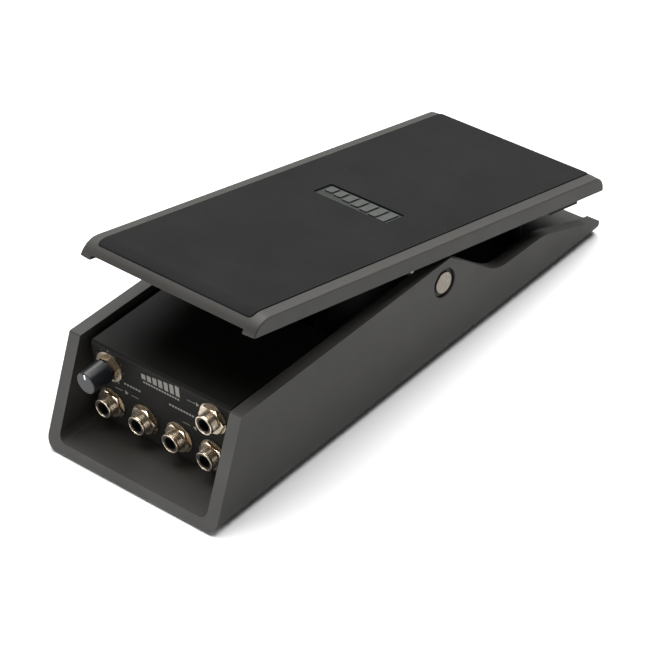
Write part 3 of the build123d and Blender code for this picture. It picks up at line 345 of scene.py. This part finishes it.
# ---------------------------------------------------------------- threaded bushings
def grid_faces(mesh, rings):
    """Quads between successive rings of vertices."""
    count = len(rings[0])
    for ring, following in zip(rings, rings[1:]):
        for i in range(count):
            j = (i + 1) % count
            mesh.faces.new((ring[i], ring[j], following[j], following[i]))


def threaded_bushing(name):
    """Bushing with a real 32-per-inch thread between its plain lip and the panel."""
    low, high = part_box(f"{name}_jack_bushing")
    centre_x, centre_z = (low.x + high.x) / 2, (low.z + high.z) / 2
    radius = (high.x - low.x) / 2
    mouth, back = low.y, high.y
    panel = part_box("jack_box_hood")[0].y
    pitch, depth, lip = 0.794 * MM, 0.42 * MM, 0.7 * MM
    bore = 4.11 * MM
    around = 48
    mesh = bmesh.new()

    def ring(y, radius_at):
        """Ring of vertices at y; its radius may vary round the axis."""
        verts = []
        for i in range(around):
            angle = 2 * math.pi * i / around
            r = radius_at(angle)
            x, z = centre_x + r * math.cos(angle), centre_z + r * math.sin(angle)
            verts.append(mesh.verts.new((x, y, z)))
        return verts

    def thread_radius(y):
        def at(angle):
            turn = (y - mouth) / pitch + angle / (2 * math.pi)
            ramp = abs((turn % 1.0) * 2 - 1)  # 0 at the thread's crest, 1 at its root
            fade = min(1.0, (y - mouth - lip) / (0.5 * pitch))  # the cut starts behind the lip
            return radius - depth * fade * min(1.0, max(0.0, 1.25 * ramp - 0.12))
        return at

    rings = [
        ring(back, lambda a: bore),
        ring(mouth + 0.35 * MM, lambda a: bore),
        ring(mouth + 0.1 * MM, lambda a: bore + 0.12 * MM),
        ring(mouth, lambda a: bore + 0.28 * MM),
        ring(mouth, lambda a: radius - 0.3 * MM),
        ring(mouth + 0.12 * MM, lambda a: radius - 0.1 * MM),
        ring(mouth + 0.3 * MM, lambda a: radius - 0.02 * MM),
        ring(mouth + lip * 0.8, lambda a: radius - 0.02 * MM),
    ]
    step = pitch / 8  # eight rings to a turn of the thread
    y = mouth + lip
    while y < panel:
        rings.append(ring(y, thread_radius(y)))
        y += step
    rings.append(ring(panel, lambda a: radius - 0.5 * depth))
    rings.append(ring(back, lambda a: radius - 0.02 * MM))
    grid_faces(mesh, rings)
    grid_faces(mesh, [rings[-1], rings[0]])
    bmesh.ops.recalc_face_normals(mesh, faces=mesh.faces)
    data = bpy.data.meshes.new(f"{name}_threaded_bushing")
    mesh.to_mesh(data)
    mesh.free()
    data.materials.append(MATERIALS["nickel"])
    obj = bpy.data.objects.new(data.name, data)
    bpy.context.scene.collection.objects.link(obj)
    shade_smooth(obj, 50)
    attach(obj, "base")
    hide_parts(f"{name}_jack_bushing")


def shade_smooth(obj, angle):
    """Smooth shading that keeps edges sharper than the angle, in degrees."""
    obj.data.polygons.foreach_set("use_smooth", [True] * len(obj.data.polygons))
    obj.data.set_sharp_from_angle(angle=math.radians(angle))


for jack in JACKS:
    threaded_bushing(jack)


# ---------------------------------------------------------------- printed marks on the panel
PRINT_HEIGHT = 0.02 * MM
DASH_PITCH = 1.7  # this and the sizes below are in millimetres
LINE = 0.3  # width of the thin lines
ARROW = 2.0
JACK_DOT = 0.42
SCALE_DOT, SMALL_SCALE_DOT = 0.38, 0.24
SCALE_RADIUS = 8.9  # circle of dots round the knob
BAR_COUNT = 7
BAR_PITCH, BAR_WIDTH = 3.6, 2.5
FIRST_BAR, BAR_RISE = 2.9, 0.5


class PanelPrint:
    """Flat ink marks on the jack panel; positions are millimetres across and up."""

    def __init__(self, name, y):
        self.name = name
        self.y = y
        self.mesh = bmesh.new()

    def outline(self, corners):
        """Thin solid mark with the given corners."""
        front = [self.mesh.verts.new((x * MM, self.y - PRINT_HEIGHT, z * MM)) for x, z in corners]
        rear = [self.mesh.verts.new((x * MM, self.y, z * MM)) for x, z in corners]
        self.mesh.faces.new(front)
        self.mesh.faces.new(rear[::-1])
        count = len(corners)
        for i in range(count):
            j = (i + 1) % count
            self.mesh.faces.new((front[j], front[i], rear[i], rear[j]))

    def bar(self, x, z, width, height):
        """Rectangle centred on x, z."""
        self.outline([
            (x - width / 2, z - height / 2), (x + width / 2, z - height / 2),
            (x + width / 2, z + height / 2), (x - width / 2, z + height / 2),
        ])

    def dot(self, x, z, radius, sides=16):
        turn = 2 * math.pi / sides
        angles = [i * turn for i in range(sides)]
        self.outline([(x + radius * math.cos(a), z + radius * math.sin(a)) for a in angles])

    def dashes(self, left, right, z, height):
        """Row of plain dashes."""
        count = round((right - left) / DASH_PITCH)
        pitch = (right - left) / count
        for i in range(count):
            self.bar(left + (i + 0.5) * pitch, z, 0.7 * pitch, height)

    def arrow(self, x, z, size, direction):
        """Triangle that points left (-1) or right (1)."""
        tip = x + direction * size
        base = [(x, z - size * 0.6), (tip, z), (x, z + size * 0.6)]
        self.outline(base if direction > 0 else base[::-1])

    def finish(self, material):
        """Turn the marks into one object that rides the base."""
        bmesh.ops.recalc_face_normals(self.mesh, faces=self.mesh.faces)
        data = bpy.data.meshes.new(self.name)
        self.mesh.to_mesh(data)
        self.mesh.free()
        data.materials.append(MATERIALS[material])
        obj = bpy.data.objects.new(self.name, data)
        bpy.context.scene.collection.objects.link(obj)
        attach(obj, "base")


def axis_of(name):
    """Centre of a node across the panel, in millimetres."""
    low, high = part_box(name)
    return (low.x + high.x) / 2 / MM, (low.z + high.z) / 2 / MM


def print_panel():
    """Draw all the plain marks in front of the jack panel."""
    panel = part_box("jack_box_hood")[0].y
    marks = PanelPrint("panel_marks", panel)
    places = {jack: axis_of(f"{jack}_jack_bushing") for jack in JACKS}
    knob_x, knob_z = axis_of("min_volume_knob")
    # Scale of dots round the knob, from seven o'clock to five o'clock
    for i in range(11):
        angle = math.radians(240 - 30 * i)
        x = knob_x + SCALE_RADIUS * math.cos(angle)
        z = knob_z + SCALE_RADIUS * math.sin(angle)
        marks.dot(x, z, SCALE_DOT if i % 5 == 0 else SMALL_SCALE_DOT)
    # Lines over the two input and the two output jacks, with an arrow in or out between them
    jack_z = places["input_left"][1]
    line_z = jack_z + 10.2
    pairs = (("input_left", "input_right", 1), ("output_right", "output_left", -1))
    for first, second, direction in pairs:
        x1, x2 = places[first][0], places[second][0]
        marks.bar(x1 + 5.6, line_z, 4.6, LINE)
        marks.bar(x2 - 5.6, line_z, 4.6, LINE)
        marks.arrow((x1 + x2) / 2 - direction * ARROW / 2, line_z, ARROW, direction)
        for x in (x1, x2):
            marks.dot(x - 8.6, jack_z - 4.5, JACK_DOT)
    x, z = places["expression"]
    marks.bar(x - 13.5, z + 3.0, 5.0, LINE)
    marks.arrow(x - 10.4, z + 3.0, ARROW, 1)
    # Plain ornament: the same rising bars as on the badge, with a row of dashes under them
    for i in range(BAR_COUNT):
        height = FIRST_BAR + BAR_RISE * i
        x = (i - (BAR_COUNT - 1) / 2) * BAR_PITCH
        marks.bar(x, knob_z + 2.8 + height / 2, BAR_WIDTH, height)
    marks.dashes(-11.6, 11.6, knob_z + 1.1, 1.0)
    # Short rows of dashes beside the knob and beside the upper jack
    marks.dashes(-25.0, -14.0, knob_z - 6.0, 1.1)
    marks.dashes(4.0, 20.0, knob_z - 4.6, 1.1)
    marks.finish("panel_ink")


print_panel()

# ---------------------------------------------------------------- floor, light, camera
def floor():
    """Plain pale sheet of paper, 12 m square."""
    mesh = bpy.data.meshes.new("floor")
    half = 6.0
    corners = [(-half, -half, 0), (half, -half, 0), (half, half, 0), (-half, half, 0)]
    mesh.from_pydata(corners, [], [(0, 1, 2, 3)])
    obj = bpy.data.objects.new("floor", mesh)
    bpy.context.scene.collection.objects.link(obj)
    s = Shader("floor_paper")
    s.color(s.blend_colors(s.noise(0.4), (0.9, 0.9, 0.9), (0.93, 0.93, 0.93)))
    s.set("Roughness", 0.9)
    s.set("Specular IOR Level", 0.1)
    mesh.materials.append(s.material)


def area_light(name, place, target, size, power):
    """White rectangular light; lengths are metres and the power is watts."""
    data = bpy.data.lights.new(name, "AREA")
    data.shape = "RECTANGLE"
    data.size, data.size_y = size
    data.energy = power
    obj = bpy.data.objects.new(name, data)
    bpy.context.scene.collection.objects.link(obj)
    obj.location = place
    obj.rotation_mode = "QUATERNION"
    obj.rotation_quaternion = (Vector(target) - Vector(place)).to_track_quat("-Z", "Y")


def world(strength):
    """Even white surroundings."""
    data = bpy.data.worlds.new("studio")
    data.use_nodes = True
    background = data.node_tree.nodes["Background"]
    background.inputs["Color"].default_value = (1.0, 1.0, 1.0, 1)
    background.inputs["Strength"].default_value = strength
    bpy.context.scene.world = data


def camera():
    """Three-quarter view from the toe end's right, with a slight roll, through a long lens."""
    turn, height, roll = (math.radians(angle) for angle in (44.368, 37.212, -5.352))
    distance, aside, above = 1375.902 * MM, 1.815 * MM, 19.312 * MM
    target = Vector((0, -1.771 * MM, 31.0 * MM))
    back = Vector((
        math.sin(turn) * math.cos(height), -math.cos(turn) * math.cos(height), math.sin(height),
    ))
    right = Vector((math.cos(turn), math.sin(turn), 0))
    up = back.cross(right)
    x_axis = right * math.cos(roll) + up * math.sin(roll)
    y_axis = up * math.cos(roll) - right * math.sin(roll)
    data = bpy.data.cameras.new("camera")
    data.sensor_width = 36
    data.lens = 4.423843 * data.sensor_width
    data.clip_start, data.clip_end = 0.05, 50
    obj = bpy.data.objects.new("camera", data)
    bpy.context.scene.collection.objects.link(obj)
    place = target - x_axis * aside - y_axis * above + back * distance
    rows = Matrix((x_axis, y_axis, back)).transposed()
    obj.matrix_world = Matrix.Translation(place) @ rows.to_4x4()
    bpy.context.scene.camera = obj


floor()
world(0.05)
area_light("overhead", (-0.5, 0.9, 2.2), (0, 0, 0), (3.0, 3.0), 176)
area_light("front_low", (-0.8, -2.2, 0.3), (0, -0.05, 0.04), (1.6, 0.4), 32)
area_light("front_card", (0.2, -2.6, 1.7), (0, 0, 0), (2.4, 1.2), 3)
area_light("right_low", (2.3, 0.3, 0.5), (0, 0, 0.03), (2.2, 0.6), 3)
camera()
bpy.context.scene.view_settings.view_transform = "Standard"
